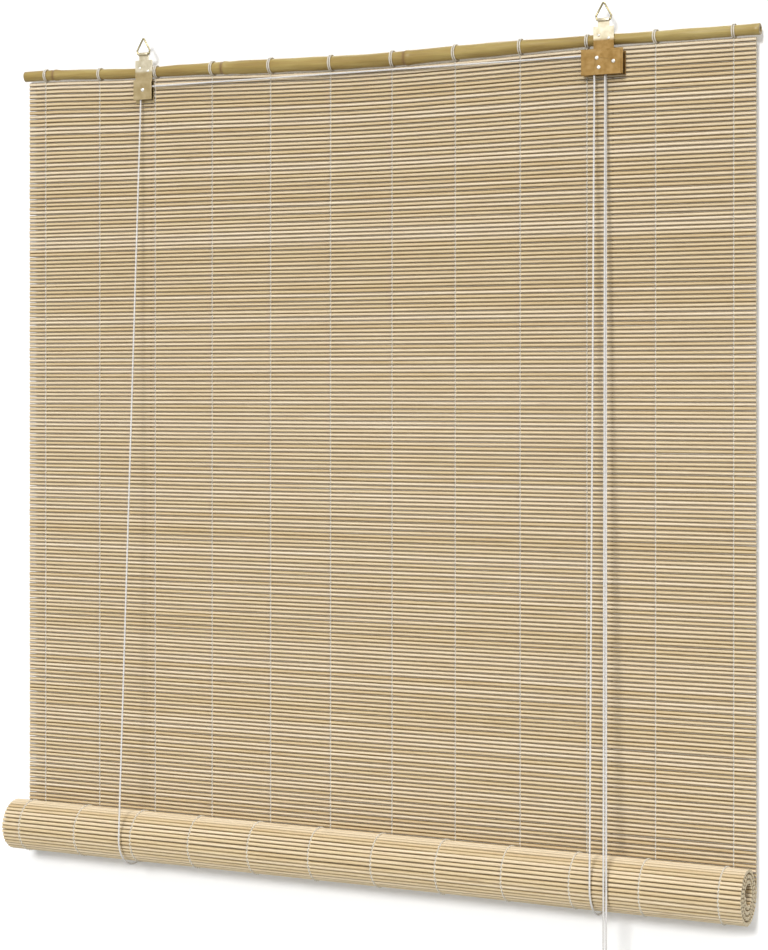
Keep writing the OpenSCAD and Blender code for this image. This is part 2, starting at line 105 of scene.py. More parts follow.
LEFT_LOOP_X = LEFT_CORD_X + 5 * MM
RIGHT_LOOP_X = RIGHT_CORD_X + 14 * MM
PULL_X = GUIDE_PIN[0] + GUIDE_LINE_R
PULL_LOW_X = PULL_X + 19 * MM
PULL_HALF = 1.55 * MM
FRONT_PULL_X = PULL_LOW_X - PULL_HALF
REAR_PULL_X = PULL_LOW_X + PULL_HALF
TAIL_Z = ROLL_Z - 88 * MM
KNOT_R = 4 * MM
END_KNOT_R = 2.6 * MM
SOFT_FIT = 0.3 * MM
LIFT_RANGE = 815 * MM

COLUMN_PITCH = (MAT_W - 2 * THREAD_EDGE - LAST_BAY) / (THREAD_COLUMNS - 1)
COLUMNS = [-MAT_W / 2 + THREAD_EDGE + i * COLUMN_PITCH for i in range(THREAD_COLUMNS - 1)]
COLUMNS.append(MAT_W / 2 - THREAD_EDGE)
STRAP_W = 23 * MM
LASH_R = 0.75 * MM
LASH_HALF = 1.1 * MM
LASH_FIT = 0.2 * MM
LASH_CLEAR = STRAP_W / 2 + LASH_HALF + LASH_R + SOFT_FIT
CANE_JOINTS = np.arange(POLE_X0 + FIRST_JOINT, POLE_X1, INTERNODE)


def ramp(t):
    u = np.clip(t, 0, 1)
    return u * u * (3 - 2 * u)


def pole_body_r(x):
    return POLE_R_MID - (POLE_R_MID - POLE_R_END) * ramp((np.abs(x) - POLE_TAPER_IN) / POLE_TAPER)


def pole_swell(x):
    return NODE_SWELL * np.max([np.exp(-(((x - j) / NODE_W) ** 2)) for j in CANE_JOINTS], axis=0)


def pole_r(x):
    return pole_body_r(x) + pole_swell(x)


def pole_dz(x):
    rise = CROOK_LEFT * ramp((-HANGER_X - x) / POLE_RISE_W)
    return rise - CROOK_MID * np.exp(-((x / POLE_SAG_W) ** 2))


# Camera at the photograph's viewing angle, with the picture taken to be 768 x 950
camera = bpy.data.objects.new("camera", bpy.data.cameras.new("camera"))
bpy.context.collection.objects.link(camera)
camera.location = (1.0803, -2.2173, POLE_Z - 0.3678)
camera.rotation_euler = (math.radians(90), 0, math.radians(25.41))
camera.data.sensor_width = 36
camera.data.lens = 83.71
camera.data.shift_y = -0.0941
bpy.context.scene.camera = camera
bpy.context.scene.view_settings.view_transform = "Standard"


# Materials
def linear(hex_colour):
    """An sRGB hex colour as linear red, green, blue and alpha."""
    parts = [int(hex_colour[i : i + 2], 16) / 255 for i in (1, 3, 5)]
    return [p / 12.92 if p <= 0.04045 else ((p + 0.055) / 1.055) ** 2.4 for p in parts] + [1]


def add(tree, kind, settings=None, **inputs):
    """Adds a node with its settings and inputs.

    An input is a value or the output that feeds it, named with _ for a space or as i and its number.
    The setting stops gives a ramp its places and colours.
    """
    made = tree.nodes.new(kind)
    settings = dict(settings or {})
    stops = settings.pop("stops", [])
    for key, value in settings.items():
        setattr(made, key, value)
    for _ in stops[2:]:
        made.color_ramp.elements.new(0.5)
    for number, (place, colour) in enumerate(stops):
        made.color_ramp.elements[number].position = place
        made.color_ramp.elements[number].color = linear(colour)
    for key, value in inputs.items():
        wanted = int(key[1:]) if key[0] == "i" and key[1:].isdigit() else key.replace("_", " ")
        socket = made.inputs[wanted]
        if isinstance(value, bpy.types.NodeSocket):
            tree.links.new(value, socket)
        else:
            socket.default_value = value
    return made


def new_material(name):
    made = bpy.data.materials.new(name)
    made.use_nodes = True
    tree = made.node_tree
    return made, tree, tree.nodes["Principled BSDF"]


def split_bamboo():
    """Planed bamboo sticks: dry, pale straw, fine fibres lengthwise, each stick a tone of its own, with
    painted shade along the gaps.
    """
    made, tree, shader = new_material("split_bamboo")
    place = add(tree, "ShaderNodeTexCoord").outputs["Object"]
    tone = add(tree, "ShaderNodeAttribute", {"attribute_name": "tone"}).outputs["Fac"]
    # Fibres about 0.6 mm wide and 60 mm long
    along = add(tree, "ShaderNodeMapping", Vector=place, Scale=(16, 1600, 1600))
    fibre = add(tree, "ShaderNodeTexNoise", Vector=along.outputs[0], Scale=1.0, Detail=3.0)
    # Clouds of colour about 120 mm long and as wide as a stick
    cloud_map = add(tree, "ShaderNodeMapping", Vector=place, Scale=(8, 220, 220))
    cloud = add(tree, "ShaderNodeTexNoise", Vector=cloud_map.outputs[0], Scale=1.0, Detail=2.0)
    mixed = add(tree, "ShaderNodeMath", {"operation": "MULTIPLY_ADD"}, i0=cloud.outputs[0], i1=0.55, i2=tone)
    shade = add(tree, "ShaderNodeMath", {"operation": "MULTIPLY"}, i0=mixed.outputs[0], i1=0.66)
    straw_tones = [(0.0, "#d3ba90"), (0.3, "#e0cda8"), (0.62, "#e9d8b9"), (1.0, "#f2e4cb")]
    straw = add(tree, "ShaderNodeValToRGB", {"stops": straw_tones}, Fac=shade.outputs[0])
    streak_tones = [(0.3, "#cbb285"), (0.6, "#ffffff")]
    streak = add(tree, "ShaderNodeValToRGB", {"stops": streak_tones}, Fac=fibre.outputs[0])
    fibred = add(
        tree,
        "ShaderNodeMix",
        {"data_type": "RGBA", "blend_type": "MULTIPLY"},
        i0=0.4,
        i6=straw.outputs[0],
        i7=streak.outputs[0],
    )
    # Brown scars about 24 mm long and 3 mm wide, where a leaf joint was planed off
    scar_map = add(tree, "ShaderNodeMapping", Vector=place, Scale=(42, 300, 300))
    scar = add(tree, "ShaderNodeTexNoise", Vector=scar_map.outputs[0], Scale=1.0, Detail=0.0)
    scarred = add(tree, "ShaderNodeMapRange", Value=scar.outputs[0], i1=0.8, i2=0.88, i4=0.25)
    last = add(
        tree,
        "ShaderNodeMix",
        {"data_type": "RGBA"},
        i0=scarred.outputs[0],
        i6=fibred.outputs[2],
        i7=linear("#96713a"),
    )
    # Painted shade: brown along the two edges of each stick, where the gaps between the sticks are
    edge = add(tree, "ShaderNodeAttribute", {"attribute_name": "edge"}).outputs["Fac"]
    gap_shade_share = add(
        tree,
        "ShaderNodeMapRange",
        {"interpolation_type": "SMOOTHSTEP"},
        Value=edge,
        i1=0.3,
        i2=0.95,
        i4=0.92,
    )
    edged = add(
        tree,
        "ShaderNodeMix",
        {"data_type": "RGBA"},
        i0=gap_shade_share.outputs[0],
        i6=last.outputs[2],
        i7=linear("#6e5225"),
    )
    # Sawn ends are pale and take none of the painted gap shade: they are the faces that look along the stick
    facing = add(tree, "ShaderNodeNewGeometry").outputs["True Normal"]
    lengthwise = add(tree, "ShaderNodeSeparateXYZ", Vector=facing).outputs["X"]
    either_end = add(tree, "ShaderNodeMath", {"operation": "ABSOLUTE"}, i0=lengthwise)
    sawn = add(tree, "ShaderNodeMath", {"operation": "GREATER_THAN"}, i0=either_end.outputs[0], i1=0.8)
    ended = add(
        tree,
        "ShaderNodeMix",
        {"data_type": "RGBA"},
        i0=sawn.outputs[0],
        i6=edged.outputs[2],
        i7=linear("#f2e3c2"),
    )
    bump = add(tree, "ShaderNodeBump", Strength=0.25, Distance=0.0003, Height=fibre.outputs[0])
    tree.links.new(ended.outputs[2], shader.inputs["Base Color"])
    tree.links.new(bump.outputs[0], shader.inputs["Normal"])
    shader.inputs["Roughness"].default_value = 0.55
    shader.inputs["Specular IOR Level"].default_value = 0.08
    return made


def raw_cane():
    """Whole cane with its skin on: olive tan, waxy, with brown rings at its joints, long stains and painted
    shade down the hollow of each sawn end.
    """
    made, tree, shader = new_material("raw_cane")
    place = add(tree, "ShaderNodeTexCoord").outputs["Object"]
    # Stains about 110 mm long and 17 mm wide
    stain_map = add(tree, "ShaderNodeMapping", Vector=place, Scale=(9, 60, 60))
    stain = add(tree, "ShaderNodeTexNoise", Vector=stain_map.outputs[0], Scale=1.0, Detail=4.0)
    skin_tones = [(0.25, "#8d7337"), (0.45, "#a08847"), (0.6, "#ae9959"), (0.8, "#bfae74")]
    skin = add(tree, "ShaderNodeValToRGB", {"stops": skin_tones}, Fac=stain.outputs[0])
    # Fibres about 1 mm wide under the skin
    along = add(tree, "ShaderNodeMapping", Vector=place, Scale=(12, 900, 900))
    fibre = add(tree, "ShaderNodeTexNoise", Vector=along.outputs[0], Scale=1.0, Detail=2.0)
    streak_tones = [(0.3, "#c9b98d"), (0.65, "#ffffff")]
    streak = add(tree, "ShaderNodeValToRGB", {"stops": streak_tones}, Fac=fibre.outputs[0])
    fibred = add(
        tree,
        "ShaderNodeMix",
        {"data_type": "RGBA", "blend_type": "MULTIPLY"},
        i0=0.35,
        i6=skin.outputs[0],
        i7=streak.outputs[0],
    )
    # The ring mark: brown rings at the joints, a light tint on the sawn faces and painted shade down the
    # hollows of the ends
    ring = add(tree, "ShaderNodeAttribute", {"attribute_name": "ring"}).outputs["Fac"]
    last = add(
        tree,
        "ShaderNodeMix",
        {"data_type": "RGBA"},
        i0=ring,
        i6=fibred.outputs[2],
        i7=linear("#80612f"),
    )
    bump = add(tree, "ShaderNodeBump", Strength=0.2, Distance=0.0004, Height=fibre.outputs[0])
    tree.links.new(last.outputs[2], shader.inputs["Base Color"])
    tree.links.new(bump.outputs[0], shader.inputs["Normal"])
    shader.inputs["Roughness"].default_value = 0.42
    shader.inputs["Coat Weight"].default_value = 0.25
    shader.inputs["Coat Roughness"].default_value = 0.3
    return made


def bleached_cotton(name, fuzz_mm, tones):
    """Bleached cotton: matt white with a faint sheen, and a fuzz drawn coarser than its fibres to show."""
    made, tree, shader = new_material(name)
    place = add(tree, "ShaderNodeTexCoord").outputs["Object"]
    fuzz = add(tree, "ShaderNodeTexNoise", Vector=place, Scale=1000 / fuzz_mm, Detail=3.0)
    white = add(tree, "ShaderNodeValToRGB", {"stops": tones}, Fac=fuzz.outputs[0])
    bump = add(tree, "ShaderNodeBump", Strength=0.4, Distance=0.0003, Height=fuzz.outputs[0])
    tree.links.new(white.outputs[0], shader.inputs["Base Color"])
    tree.links.new(bump.outputs[0], shader.inputs["Normal"])
    shader.inputs["Roughness"].default_value = 0.9
    shader.inputs["Specular IOR Level"].default_value = 0.2
    shader.inputs["Sheen Weight"].default_value = 0.15
    return made


def sheet_metal(name, lower, upper, roughness):
    """Rolled sheet metal: fine rolling lines across it, with paler tones above the pole as a painted
    highlight and its own tones below it.
    """
    made, tree, shader = new_material(name)
    place = add(tree, "ShaderNodeTexCoord").outputs["Object"]
    # Tarnish in spots about 8 mm wide
    tarnish = add(tree, "ShaderNodeTexNoise", Vector=place, Scale=130.0, Detail=4.0)
    base_tones = add(tree, "ShaderNodeValToRGB", {"stops": lower}, Fac=tarnish.outputs[0])
    painted_highlight = add(tree, "ShaderNodeValToRGB", {"stops": upper}, Fac=tarnish.outputs[0])
    # Painted highlight: above the pole the metal takes paler tones, as the light falls on the strap tops
    height = add(tree, "ShaderNodeSeparateXYZ", Vector=place).outputs["Z"]
    above = add(
        tree,
        "ShaderNodeMapRange",
        {"interpolation_type": "SMOOTHSTEP"},
        Value=height,
        i1=POLE_Z - 2 * MM,
        i2=POLE_Z + 2 * MM,
    )
    metal = add(
        tree,
        "ShaderNodeMix",
        {"data_type": "RGBA"},
        i0=above.outputs[0],
        i6=base_tones.outputs[0],
        i7=painted_highlight.outputs[0],
    )
    # Rolling lines 0.5 mm apart, drawn coarser than real ones to show
    lines_map = add(tree, "ShaderNodeMapping", Vector=place, Scale=(60, 60, 2000))
    lines = add(tree, "ShaderNodeTexNoise", Vector=lines_map.outputs[0], Scale=1.0, Detail=2.0)
    rough = add(
        tree,
        "ShaderNodeMapRange",
        Value=lines.outputs[0],
        i1=0.3,
        i2=0.7,
        i3=roughness - 0.06,
        i4=roughness + 0.08,
    )
    bump = add(tree, "ShaderNodeBump", Strength=0.12, Distance=0.0002, Height=lines.outputs[0])
    tree.links.new(metal.outputs[2], shader.inputs["Base Color"])
    tree.links.new(rough.outputs[0], shader.inputs["Roughness"])
    tree.links.new(bump.outputs[0], shader.inputs["Normal"])
    shader.inputs["Metallic"].default_value = 1.0
    return made


BAMBOO = split_bamboo()
CANE = raw_cane()
CORD_TONES = [(0.3, "#cdcac6"), (0.55, "#dedbd8"), (0.8, "#eae8e5")]
COTTON = bleached_cotton("bleached_cotton_cord", 0.8, CORD_TONES)
THREAD_TONES = [(0.3, "#d0c9ba"), (0.55, "#ddd6c8"), (0.8, "#e8e2d6")]
THREAD = bleached_cotton("bleached_cotton_thread", 0.5, THREAD_TONES)
# Paler tones that paint the highlight on the metal above the pole
PAINTED_HIGHLIGHT_TONES = [(0.3, "#b8ad90"), (0.55, "#cfc5ac"), (0.8, "#e0d8c4")]
BRASS_TONES = [(0.3, "#9f8c64"), (0.55, "#af9d77"), (0.8, "#beac88")]
BRASS = sheet_metal("sheet_brass", BRASS_TONES, PAINTED_HIGHLIGHT_TONES, 0.34)
BRONZED_TONES = [(0.3, "#7f6236"), (0.55, "#917446"), (0.8, "#a18459")]
BRONZED = sheet_metal("bronzed_brass", BRONZED_TONES, PAINTED_HIGHLIGHT_TONES, 0.38)
WIRE_TONES = [(0.3, "#8e8462"), (0.7, "#a89d7a")]
WIRE = sheet_metal("brass_wire", WIRE_TONES, WIRE_TONES, 0.28)
RIVET_TONES = [(0.3, "#ece9e0"), (0.7, "#fbfaf6")]
BRIGHT = sheet_metal("bright_rivet_steel", RIVET_TONES, RIVET_TONES, 0.22)


# Pieces
def piece_from(name, points, faces, material, smooth=True):
    mesh = bpy.data.meshes.new(name)
    mesh.from_pydata([tuple(p) for p in points], [], faces)
    mesh.update()
    mesh.materials.append(material)
    mesh.polygons.foreach_set("use_smooth", [smooth] * len(mesh.polygons))
    made = bpy.data.objects.new(name, mesh)
    bpy.context.collection.objects.link(made)
    return made


def ring_angles(sides):
    return [2 * math.pi * k / sides for k in range(sides)]


def tube_faces(rings, sides, closed=False):
    """Faces of a tube through rings of points that follow each other along it."""
    faces = []
    for i in range(rings if closed else rings - 1):
        j = (i + 1) % rings
        for k in range(sides):
            n = (k + 1) % sides
            faces.append((i * sides + k, i * sides + n, j * sides + n, j * sides + k))
    return faces


def new_tree(name, sockets):
    tree = bpy.data.node_groups.new(name, "GeometryNodeTree")
    tree.interface.new_socket("Geometry", in_out="INPUT", socket_type="NodeSocketGeometry")
    for label, kind in sockets:
        tree.interface.new_socket(label, in_out="INPUT", socket_type="NodeSocket" + kind)
    tree.interface.new_socket("Geometry", in_out="OUTPUT", socket_type="NodeSocketGeometry")
    given = tree.nodes.new("NodeGroupInput").outputs
    return tree, given


def end_tree(tree, geometry, material):
    real = add(tree, "GeometryNodeRealizeInstances", Geometry=geometry)
    smooth = add(tree, "GeometryNodeSetShadeSmooth", Geometry=real.outputs[0])
    finish = add(tree, "GeometryNodeSetMaterial", Geometry=smooth.outputs[0], Material=material)
    add(tree, "NodeGroupOutput", Geometry=finish.outputs[0])
    return tree


def reed_tree():
    """A reed across each point of a row: a wavy stick with a tone of its own."""
    tree, given = new_tree(
        "reeds_on_points",
        [
            ("Length", "Float"),
            ("Radius", "Float"),
            ("Steps", "Int"),
            ("Sides", "Int"),
            ("Wave", "Float"),
            ("Seed", "Int"),
            ("Finish", "Material"),
        ],
    )
    half = add(tree, "ShaderNodeMath", {"operation": "MULTIPLY"}, i0=given["Length"], i1=0.5)
    back = add(tree, "ShaderNodeMath", {"operation": "MULTIPLY"}, i0=given["Length"], i1=-0.5)
    left = add(tree, "ShaderNodeCombineXYZ", X=back.outputs[0])
    right = add(tree, "ShaderNodeCombineXYZ", X=half.outputs[0])
    line = add(tree, "GeometryNodeCurvePrimitiveLine", Start=left.outputs[0], End=right.outputs[0])
    stick = add(tree, "GeometryNodeResampleCurve", Curve=line.outputs[0], Count=given["Steps"])
    row = add(tree, "GeometryNodeInstanceOnPoints", Points=given["Geometry"], Instance=stick.outputs[0])
    real = add(tree, "GeometryNodeRealizeInstances", Geometry=row.outputs[0])
    number = add(tree, "GeometryNodeInputIndex")
    draw = add(tree, "FunctionNodeRandomValue", i7=number.outputs[0], Seed=given["Seed"])
    toned = add(
        tree,
        "GeometryNodeStoreNamedAttribute",
        {"domain": "CURVE"},
        Geometry=real.outputs[0],
        Name="tone",
        Value=draw.outputs[1],
    )
    tone = add(tree, "GeometryNodeInputNamedAttribute", Name="tone").outputs[0]
    place = add(tree, "GeometryNodeInputPosition")
    parts = add(tree, "ShaderNodeSeparateXYZ", Vector=place.outputs[0])
    # Waves about 200 mm long, from a lane of the noise that differs from stick to stick
    x_wave = add(tree, "ShaderNodeMath", {"operation": "MULTIPLY"}, i0=parts.outputs[0], i1=5.0)
    lane = add(tree, "ShaderNodeMath", {"operation": "MULTIPLY"}, i0=tone, i1=913.0)
    where = add(tree, "ShaderNodeCombineXYZ", X=x_wave.outputs[0], Y=lane.outputs[0])
    noise = add(tree, "ShaderNodeTexNoise", Vector=where.outputs[0], Scale=1.0, Detail=1.0)
    centred = add(
        tree,
        "ShaderNodeVectorMath",
        {"operation": "SUBTRACT"},
        i0=noise.outputs[1],
        i1=(0.5, 0.5, 0.5),
    )
    reach = add(tree, "ShaderNodeCombineXYZ", Y=given["Wave"], Z=given["Wave"])
    shift = add(
        tree,
        "ShaderNodeVectorMath",
        {"operation": "MULTIPLY"},
        i0=centred.outputs[0],
        i1=reach.outputs[0],
    )
    wavy = add(tree, "GeometryNodeSetPosition", Geometry=toned.outputs[0], Offset=shift.outputs[0])
    swell = add(tree, "ShaderNodeMapRange", Value=noise.outputs[0], i1=0.25, i2=0.75, i3=0.93, i4=1.07)
    thick = add(tree, "ShaderNodeMath", {"operation": "MULTIPLY"}, i0=swell.outputs[0], i1=given["Radius"])
    ring = add(tree, "GeometryNodeCurvePrimitiveCircle", Resolution=given["Sides"], Radius=1.0)
    body = add(
        tree,
        "GeometryNodeCurveToMesh",
        Curve=wavy.outputs[0],
        i1=ring.outputs[0],
        Scale=thick.outputs[0],
        i3=True,
    )
    return end_tree(tree, body.outputs[0], given["Finish"])


def tube_tree():
    """A round tube along every line of a drawing, for thread."""
    tree, given = new_tree(
        "tubes_on_lines", [("Radius", "Float"), ("Sides", "Int"), ("Finish", "Material")]
    )
    lines = add(tree, "GeometryNodeMeshToCurve", Mesh=given["Geometry"])
    ring = add(tree, "GeometryNodeCurvePrimitiveCircle", Resolution=given["Sides"], Radius=given["Radius"])
    body = add(tree, "GeometryNodeCurveToMesh", Curve=lines.outputs[0], i1=ring.outputs[0], i3=True)
    return end_tree(tree, body.outputs[0], given["Finish"])


def grown(name, points, edges, tree, **values):
    """Runs a tree on a drawing of points and edges and keeps the result as a plain mesh."""
    drawing = bpy.data.meshes.new(name + "_drawing")
    drawing.from_pydata([tuple(p) for p in points], edges, [])
    maker = bpy.data.objects.new(name + "_maker", drawing)
    bpy.context.collection.objects.link(maker)
    modifier = maker.modifiers.new("tree", "NODES")
    modifier.node_group = tree
    for item in tree.interface.items_tree:
        if item.in_out == "INPUT" and item.name in values:
            modifier[item.identifier] = values[item.name]
    result = bpy.data.meshes.new_from_object(maker.evaluated_get(bpy.context.evaluated_depsgraph_get()))
    bpy.data.objects.remove(maker)
    result.name = name
    made = bpy.data.objects.new(name, result)
    bpy.context.collection.objects.link(made)
    return made


def places_of(piece):
    places = np.empty(len(piece.data.vertices) * 3)
    piece.data.vertices.foreach_get("co", places)
    return places.reshape(-1, 3)


def moved(piece, shift):
    """Moves a piece's points by a function of their places."""
    piece.data.vertices.foreach_set("co", shift(places_of(piece)).ravel())
    piece.data.update()


def mark_edges(piece, sides, steps, across, most):
    """Stores painted gap shade: how near each point lies to the edges of its stick, where the gaps are, from
    0 on its face to most.
    """
    places = places_of(piece).reshape(len(across), steps, sides, 3)
    out = places - places.mean(axis=2, keepdims=True)
    out /= np.linalg.norm(out, axis=3, keepdims=True)
    near = most * np.abs(np.einsum("ijkl,il->ijk", out, np.array(across)))
    marks = piece.data.attributes.new("edge", "FLOAT", "POINT")
    marks.data.foreach_set("value", near.ravel().astype(np.float32))


REEDS = reed_tree()
TUBES = tube_tree()


# Mat and roll
REED_LENGTH = MAT_W - 2 * MM
REED_COUNT = int((DROP - HEAD_ROOM) / REED_PITCH)
ROLL_REEDS = int(ROLL_FILL * math.pi * ROLL_R**2 / TURN_PITCH / REED_PITCH)
REED_SIDES = 10
MAT_STEPS = 22
ROLL_STEPS = 18
# The sag of the uppermost reeds under the pole, and the depth and power that it dies out by
TOP_REED_RISE = 2.4 * MM
SAG_DEPTH = 110 * MM
SAG_POWER = 1.5


def spiral_r(turn):
    return ROLL_R - TURN_PITCH * turn / (2 * math.pi)


def spiral_turn(length):
    """Angle round the roll, in radians, after a length of mat, from where the hanging mat meets it."""
    return (ROLL_R - np.sqrt(ROLL_R**2 - TURN_PITCH * length / math.pi)) * 2 * math.pi / TURN_PITCH


def on_spiral(turn, out):
    r = spiral_r(turn) + out
    return ROLL_Y + r * np.cos(turn), ROLL_Z - r * np.sin(turn)


def follow_pole(places):
    """The uppermost reeds follow the crooked pole, and the sag dies out further down."""
    depth = POLE_Z - places[:, 2]
    x = places[:, 0]
    under = pole_dz(x) - pole_body_r(x) + POLE_R_MID + CROOK_MID + TOP_REED_RISE
    places[:, 2] += under * np.exp(-((depth / SAG_DEPTH) ** SAG_POWER))
    return places


hanging = [(0, POLE_Y, ROLL_Z + REED_PITCH * (i + 0.5)) for i in range(REED_COUNT)]
mat = grown(
    "bamboo_mat",
    hanging,
    [],
    REEDS,
    Length=REED_LENGTH,
    Radius=REED_R,
    Steps=MAT_STEPS,
    Sides=REED_SIDES,
    Wave=1.6 * MM,
    Seed=7,
    Finish=BAMBOO,
)
# Painted shade at the top and bottom of each hanging stick, where the gaps are
mark_edges(mat, REED_SIDES, MAT_STEPS, [(0, 0, 1)] * REED_COUNT, 1.0)
moved(mat, follow_pole)

wound = []
tangents = []
for i in range(ROLL_REEDS):
    turn = spiral_turn(REED_PITCH * (i + 0.5))
    y, z = on_spiral(turn, 0)
    wound.append((0, y, z))
    tangents.append((0, math.sin(turn), math.cos(turn)))
roll = grown(
    "bamboo_roll",
    wound,
    [],
    REEDS,
    Length=REED_LENGTH,
    Radius=REED_R,
    Steps=ROLL_STEPS,
    Sides=REED_SIDES,
    Wave=1.2 * MM,
    Seed=23,
    Finish=BAMBOO,
)
# Painted shade where each wound stick meets its neighbours, weaker than on the hanging mat
mark_edges(roll, REED_SIDES, ROLL_STEPS, tangents, 0.72)


# Binding thread: two strands that cross between the reeds and pass in front of and behind each one
THREAD_R = 0.7 * MM
THREAD_FIT = 0.15 * MM
CROSSING = 0.35 * MM
STRAND_STEPS = 4
OUTER_REEDS = int(ROLL_R * math.radians(280) / REED_PITCH)


def column_lines(steps, place_at):
    points = []
    edges = []
    for x in COLUMNS:
        for strand in (1, -1):
            first = len(points)
            for i in range(steps + 1):
                points.append(place_at(x, i / STRAND_STEPS, strand))
            edges += [(first + k, first + k + 1) for k in range(steps)]
    return points, edges


def sway(reed, strand):
    """How far a strand lies aside and out at a place counted in reeds."""
    turn = math.pi * (reed - 0.5)
    swing = math.cos(turn) * strand
    out = math.copysign(abs(swing) ** 0.6, swing) * (REED_R + THREAD_R + THREAD_FIT)
    return CROSSING * math.sin(turn) * strand, out


def on_mat(x, reed, strand):
    aside, out = sway(reed, strand)
    return x + aside, POLE_Y + out, ROLL_Z + REED_PITCH * reed


points, edges = column_lines(REED_COUNT * STRAND_STEPS, on_mat)
warps = grown("mat_threads", points, edges, TUBES, Radius=THREAD_R, Sides=4, Finish=THREAD)
moved(warps, follow_pole)


def on_roll(x, reed, strand):
    aside, out = sway(reed, strand)
    y, z = on_spiral(spiral_turn(REED_PITCH * max(reed, 0.01)), out)
    return x + aside, y, z


points, edges = column_lines(OUTER_REEDS * STRAND_STEPS, on_roll)
roll_warps = grown("roll_threads_wound", points, edges, TUBES, Radius=THREAD_R, Sides=5, Finish=THREAD)


# Head pole
POLE_SIDES = 28
JOINT_REACH = 9 * MM
RIM_EASE = 0.35 * MM


def on_pole(x, r, a):
    """A point at a radius and an angle round the crooked axis of the pole."""
    return x, POLE_Y + r * math.cos(a), POLE_Z + pole_dz(x) + r * math.sin(a)


def cane_pole():
    evenly = np.linspace(POLE_X0, POLE_X1, 180)
    at_joints = [np.linspace(j - JOINT_REACH, j + JOINT_REACH, 19) for j in CANE_JOINTS]
    rings = np.unique(np.concatenate([evenly] + at_joints))
    rough = random.Random(5)
    bend = [rough.uniform(0, 2 * math.pi) for _ in range(4)]
    points = []
    marks = []
    for x in rings:
        near = x - CANE_JOINTS[np.argmin(np.abs(CANE_JOINTS - x))]
        # A groove and a brown ring beside each joint, and slow waves along the cane
        groove = -0.5 * MM * math.exp(-(((near + 3.2 * MM) / (1.1 * MM)) ** 2))
        mark = math.exp(-(((near + 2.6 * MM) / (2.2 * MM)) ** 2))
        wave = 0.12 * MM * (math.sin(x * 61 + bend[0]) + math.sin(x * 143 + bend[1]))
        for a in ring_angles(POLE_SIDES):
            lump = 0.16 * MM * math.sin(3 * a + x * 37 + bend[2])
            lump += 0.1 * MM * math.sin(5 * a - x * 71 + bend[3])
            points.append(on_pole(x, pole_r(x) + groove + wave + lump, a))
            marks.append(mark)
    # The rings turn the other way round here, so each face is turned too
    faces = [(a, d, c, b) for a, b, c, d in tube_faces(len(rings), POLE_SIDES)]
    # Sawn ends: a slightly eased rim, the face and the hollow inside
    for x, inward, before in ((POLE_X0, 1, 0), (POLE_X1, -1, (len(rings) - 1) * POLE_SIDES)):
        hollow = BORE_R / pole_r(x)
        for share, depth in ((0.93, -RIM_EASE), (hollow, -RIM_EASE), (hollow, BORE_DEPTH)):
            first = len(points)
            for a in ring_angles(POLE_SIDES):
                _, y, z = on_pole(x, pole_r(x) * share, a)
                points.append((x + inward * depth, y, z))
                # Ring mark: a light tint on the sawn face, and painted shade that deepens down the hollow
                marks.append(0.25 if depth < 0 else 0.8)
            for k in range(POLE_SIDES):
                n = (k + 1) % POLE_SIDES
                face = (before + k, before + n, first + n, first + k)
                faces.append(face if inward > 0 else face[::-1])
            before = first
        floor_face = tuple(before + k for k in range(POLE_SIDES))
        faces.append(floor_face if inward > 0 else floor_face[::-1])
    made = piece_from("cane_pole", points, faces, CANE)
    ring = made.data.attributes.new("ring", "FLOAT", "POINT")
    ring.data.foreach_set("value", marks)
    return made


pole = cane_pole()


# Lashings: each column's two strands go round the pole side by side, clear of the straps
def beside_straps(x):
    for strap in (-HANGER_X, HANGER_X):
        if abs(x - strap) < LASH_CLEAR:
            x = strap + math.copysign(LASH_CLEAR, x - strap)
    return x


def lashing_lines():
    points = []
    edges = []
    slant = random.Random(3)
    around = 24
    for column in COLUMNS:
        x = beside_straps(column)
        lean = slant.uniform(-0.8, 0.8) * MM
        for side in (-1, 1):
            first = len(points)
            for a in ring_angles(around):
                _, y, z = on_pole(x, pole_r(x) + LASH_R + LASH_FIT, a)
                points.append((x + side * LASH_HALF + lean * math.cos(a), y, z))
            edges += [(first + k, first + (k + 1) % around) for k in range(around)]
    return points, edges


points, edges = lashing_lines()
lashings = grown("pole_ties", points, edges, TUBES, Radius=LASH_R, Sides=8, Finish=THREAD)


# Cords: three strands laid up into one, drawn as a lobed tube that turns along its path
LAY_UP = 9 * MM
CORD_STEP = 1.5 * MM
CORD_SIDES = 9


def cord_piece(name, route, run=0.0):
    """A cord along a route, and the points it follows. Its twist goes on from the run before it."""
    route = [Vector(p) for p in route]
    spots = []
    for a, b in zip(route, route[1:]):
        count = max(1, int(round((b - a).length / CORD_STEP)))
        spots += [a.lerp(b, i / count) for i in range(count)]
    spots.append(route[-1])
    points = []
    side = None
    for i, spot in enumerate(spots):
        ahead = (spots[min(i + 1, len(spots) - 1)] - spots[max(i - 1, 0)]).normalized()
        if side is None:
            side = ahead.cross(Vector((0, 1, 0)) if abs(ahead.y) < 0.9 else Vector((1, 0, 0)))
        side = (side - ahead * side.dot(ahead)).normalized()
        up = ahead.cross(side)
        if i:
            run += (spot - spots[i - 1]).length
        for a in ring_angles(CORD_SIDES):
            r = CORD_R * (0.92 + 0.1 * math.cos(3 * (a - 2 * math.pi * run / LAY_UP)))
            points.append(spot + side * (r * math.cos(a)) + up * (r * math.sin(a)))
    faces = tube_faces(len(spots), CORD_SIDES)
    faces.append(tuple(range(CORD_SIDES))[::-1])
    faces.append(tuple(range(len(points) - CORD_SIDES, len(points))))
    return piece_from(name, points, faces, COTTON), spots


def path_length(spots):
    return sum((b - a).length for a, b in zip(spots, spots[1:]))


